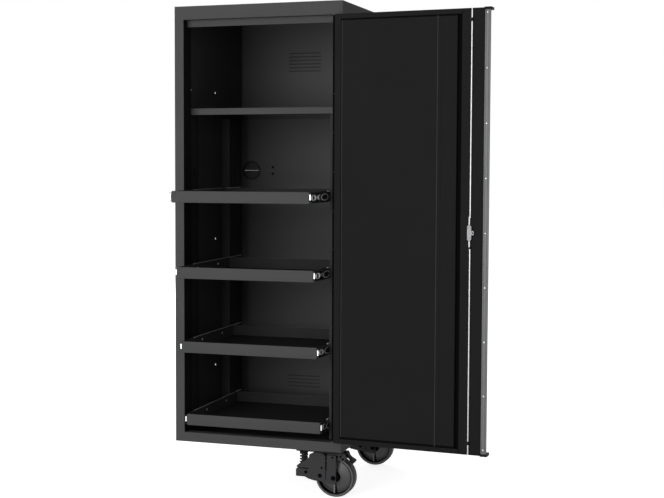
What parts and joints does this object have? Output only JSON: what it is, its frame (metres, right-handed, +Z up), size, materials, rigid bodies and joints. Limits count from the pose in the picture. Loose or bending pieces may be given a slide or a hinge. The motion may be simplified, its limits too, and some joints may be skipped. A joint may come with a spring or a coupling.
{
  "type": "tool chest side locker",
  "caption": "Tall steel side locker that bolts to a tool chest, with a hinged locking door, a fixed shelf, roll-out trays on ball slides and sprung swivel casters under its free side.",
  "frame": {"origin": "middle of the outer left face, which lies against the tool chest", "axes": "+Z up, front faces -Y, +X from the chest towards the free side"},
  "size_m": [1.2113, 0.8905, 1.846],
  "materials": {
    "frame_grey": "fine satin powder coat",
    "panel_black": "fine satin powder coat",
    "interior_grey": "fine satin powder coat",
    "slide_black": "black passivated rolled steel",
    "zinc": "bright zinc",
    "aluminium": "matt anodised",
    "caster_grey": "satin enamel on pressed steel",
    "rubber": "matt tread on a moulded core",
    "plastic": "matt"
  },
  "bodies": {
    "cabinet": {"left_side_panel": "frame_grey", "right_side_panel": "frame_grey", "back_panel": "interior_grey", "top_panel": "frame_grey", "base_pan": "interior_grey", "face_frame": "frame_grey", "fixed_shelf": "frame_grey", "front_left_post": "interior_grey", "rear_left_post": "interior_grey", "front_right_post": "interior_grey", "rear_right_post": "interior_grey", "hinge_frame_leaf": "panel_black", "tray_1_left_slide_outer": "slide_black", "tray_1_right_slide_outer": "slide_black", "tray_2_left_slide_outer": "slide_black", "tray_2_right_slide_outer": "slide_black", "tray_3_left_slide_outer": "slide_black", "tray_3_right_slide_outer": "slide_black", "tray_4_left_slide_outer": "slide_black", "tray_4_right_slide_outer": "slide_black", "front_caster_plate": "caster_grey", "rear_caster_plate": "caster_grey"},
    "hinge_pin": {"hinge_pin": "zinc"},
    "door": {"hinge_door_leaf": "panel_black", "door_pan": "panel_black", "door_inner_panel": "panel_black", "pull_handle": "aluminium", "latch_housing": "zinc"},
    "lock_spindle": {"lock_spindle": "zinc"},
    "upper_latch_rod": {"upper_latch_rod": "zinc"},
    "lower_latch_rod": {"lower_latch_rod": "zinc"},
    "tray_1": {"tray_1_pan": "frame_grey", "tray_1_left_slide_inner": "slide_black", "tray_1_right_slide_inner": "slide_black"},
    "tray_1_middle": {"tray_1_left_slide_middle": "slide_black", "tray_1_right_slide_middle": "slide_black"},
    "tray_2": {"tray_2_pan": "frame_grey", "tray_2_left_slide_inner": "slide_black", "tray_2_right_slide_inner": "slide_black"},
    "tray_2_middle": {"tray_2_left_slide_middle": "slide_black", "tray_2_right_slide_middle": "slide_black"},
    "tray_3": {"tray_3_pan": "frame_grey", "tray_3_left_slide_inner": "slide_black", "tray_3_right_slide_inner": "slide_black"},
    "tray_3_middle": {"tray_3_left_slide_middle": "slide_black", "tray_3_right_slide_middle": "slide_black"},
    "tray_4": {"tray_4_pan": "frame_grey", "tray_4_left_slide_inner": "slide_black", "tray_4_right_slide_inner": "slide_black"},
    "tray_4_middle": {"tray_4_left_slide_middle": "slide_black", "tray_4_right_slide_middle": "slide_black"},
    "front_swivel": {"front_caster_yoke": "caster_grey", "front_caster_spring": "caster_grey"},
    "front_arm": {"front_caster_arm": "caster_grey"},
    "front_wheel": {"front_caster_wheel": "rubber"},
    "rear_swivel": {"rear_caster_yoke": "caster_grey", "rear_caster_spring": "caster_grey"},
    "rear_arm": {"rear_caster_arm": "caster_grey"},
    "rear_wheel": {"rear_caster_wheel": "rubber"},
    "front_brake": {"front_caster_brake": "plastic"}
  },
  "joints": [
    {"name": "hinge_pin_turn", "type": "hinge", "parent": "cabinet", "child": "hinge_pin", "pos_m": [0.63, -0.375, 0], "axis": [0, 0, 1], "range_deg": [-88.12, 0]},
    {"name": "door_turn", "type": "hinge", "parent": "hinge_pin", "child": "door", "pos_m": [0.63, -0.375, 0], "axis": [0, 0, 1], "range_deg": [-88.12, 0]},
    {"name": "lock_turn", "type": "hinge", "parent": "door", "child": "lock_spindle", "pos_m": [1.14421, -0.42374, -0.003], "axis": [-0.0654, -0.9979, 0], "range_deg": [0, 180]},
    {"name": "upper_rod_slide", "type": "slide", "parent": "door", "child": "upper_latch_rod", "axis": [0, 0, 1], "range_m": [0, 0.0113]},
    {"name": "lower_rod_slide", "type": "slide", "parent": "door", "child": "lower_latch_rod", "axis": [0, 0, -1], "range_m": [0, 0.0114]},
    {"name": "tray_1_slide", "type": "slide", "parent": "cabinet", "child": "tray_1", "axis": [0, -1, 0], "range_m": [-0.195, 0.305]},
    {"name": "tray_1_middle_slide", "type": "slide", "parent": "cabinet", "child": "tray_1_middle", "axis": [0, -1, 0], "range_m": [-0.0975, 0.1525]},
    {"name": "tray_2_slide", "type": "slide", "parent": "cabinet", "child": "tray_2", "axis": [0, -1, 0], "range_m": [-0.141, 0.359]},
    {"name": "tray_2_middle_slide", "type": "slide", "parent": "cabinet", "child": "tray_2_middle", "axis": [0, -1, 0], "range_m": [-0.0705, 0.1795]},
    {"name": "tray_3_slide", "type": "slide", "parent": "cabinet", "child": "tray_3", "axis": [0, -1, 0], "range_m": [-0.095, 0.405]},
    {"name": "tray_3_middle_slide", "type": "slide", "parent": "cabinet", "child": "tray_3_middle", "axis": [0, -1, 0], "range_m": [-0.0475, 0.2025]},
    {"name": "tray_4_slide", "type": "slide", "parent": "cabinet", "child": "tray_4", "axis": [0, -1, 0], "range_m": [-0.048, 0.452]},
    {"name": "tray_4_middle_slide", "type": "slide", "parent": "cabinet", "child": "tray_4_middle", "axis": [0, -1, 0], "range_m": [-0.024, 0.226]},
    {"name": "front_swivel_turn", "type": "hinge", "parent": "cabinet", "child": "front_swivel", "pos_m": [0.572, -0.278, -0.85], "axis": [0, 0, 1], "continuous": true},
    {"name": "front_arm_swing", "type": "hinge", "parent": "front_swivel", "child": "front_arm", "pos_m": [0.565, -0.278, -0.934], "axis": [0, -1, 0], "range_deg": [0, 3.5], "stiffness_Nm_per_rad": 60, "springref_deg": -1.72, "deforming": ["front_caster_spring"]},
    {"name": "front_wheel_roll", "type": "hinge", "parent": "front_arm", "child": "front_wheel", "pos_m": [0.617, -0.278, -0.94], "axis": [0, 1, 0], "continuous": true},
    {"name": "rear_swivel_turn", "type": "hinge", "parent": "cabinet", "child": "rear_swivel", "pos_m": [0.572, 0.304, -0.85], "axis": [0, 0, 1], "continuous": true},
    {"name": "rear_arm_swing", "type": "hinge", "parent": "rear_swivel", "child": "rear_arm", "pos_m": [0.565, 0.304, -0.934], "axis": [0, -1, 0], "range_deg": [0, 3.5], "stiffness_Nm_per_rad": 60, "springref_deg": -1.72, "deforming": ["rear_caster_spring"]},
    {"name": "rear_wheel_roll", "type": "hinge", "parent": "rear_arm", "child": "rear_wheel", "pos_m": [0.617, 0.304, -0.94], "axis": [0, 1, 0], "continuous": true},
    {"name": "front_brake_press", "type": "hinge", "parent": "front_swivel", "child": "front_brake", "pos_m": [0.646, -0.278, -0.851], "axis": [0, 1, 0], "range_deg": [0, 6]}
  ],
  "couplings": [
    {"joint": "lower_rod_slide", "follows": "upper_rod_slide", "ratio": 1},
    {"joint": "lock_turn", "follows": "upper_rod_slide", "rad_per_m": 277.78},
    {"joint": "tray_1_middle_slide", "follows": "tray_1_slide", "ratio": 0.5},
    {"joint": "tray_2_middle_slide", "follows": "tray_2_slide", "ratio": 0.5},
    {"joint": "tray_3_middle_slide", "follows": "tray_3_slide", "ratio": 0.5},
    {"joint": "tray_4_middle_slide", "follows": "tray_4_slide", "ratio": 0.5}
  ]
}
